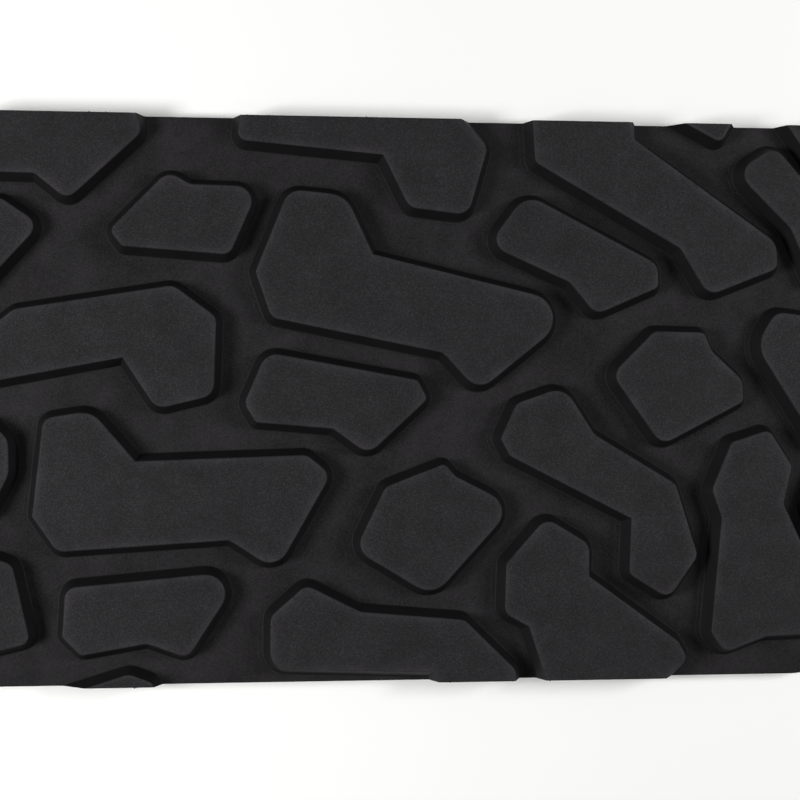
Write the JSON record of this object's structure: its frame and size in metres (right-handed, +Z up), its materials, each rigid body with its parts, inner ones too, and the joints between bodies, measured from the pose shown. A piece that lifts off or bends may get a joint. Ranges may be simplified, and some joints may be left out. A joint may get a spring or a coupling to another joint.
{
  "type": "snowboard stomp pad",
  "caption": "Stick-on foam traction mat with raised angular lugs over a tape with a two-part peel-off liner, for the top sheet of a snowboard.",
  "frame": {"origin": "middle of the pad's footprint, on the underside of the peel-off liner", "axes": "+X along the pad's length, +Y across its width towards the row of lugs that the pad's far edge cuts, +Z up through the lugs"},
  "size_m": [0.16, 0.099, 0.0064],
  "materials": {
    "lug_foam": "matte, fine-grained",
    "base_foam": "matte, smooth",
    "adhesive": "tacky, clear to milky",
    "film": "clear film, seen milky",
    "liner_paper": "siliconised kraft paper"
  },
  "bodies": {
    "pad": {"base_mat": "base_foam", "foam_side_adhesive": "adhesive", "tape_carrier": "film", "board_side_adhesive": "adhesive", "hook_lug_1": "lug_foam", "short_lug_1": "lug_foam", "hook_lug_2": "lug_foam", "edge_lug_1": "lug_foam", "edge_lug_2": "lug_foam", "edge_lug_3": "lug_foam", "short_lug_2": "lug_foam", "hook_lug_3": "lug_foam", "short_lug_3": "lug_foam", "hook_lug_4": "lug_foam", "hook_lug_5": "lug_foam", "short_lug_4": "lug_foam", "block_lug_1": "lug_foam", "edge_lug_4": "lug_foam", "edge_lug_5": "lug_foam", "hook_lug_6": "lug_foam", "block_lug_2": "lug_foam", "hook_lug_7": "lug_foam", "hook_lug_8": "lug_foam", "edge_lug_6": "lug_foam", "edge_lug_7": "lug_foam", "short_lug_5": "lug_foam", "hook_lug_9": "lug_foam", "hook_lug_10": "lug_foam", "edge_lug_8": "lug_foam"},
    "liner_left": {"release_liner_left": "liner_paper"},
    "liner_right": {"release_liner_right": "liner_paper"}
  },
  "joints": [
    {"name": "liner_left_peel", "type": "hinge", "parent": "pad", "child": "liner_left", "pos_m": [-0.08, 0, 0.00007], "axis": [0, 1, 0], "range_deg": [0, 180]},
    {"name": "liner_right_peel", "type": "hinge", "parent": "pad", "child": "liner_right", "pos_m": [0.08, 0, 0.00007], "axis": [0, -1, 0], "range_deg": [0, 180]}
  ]
}
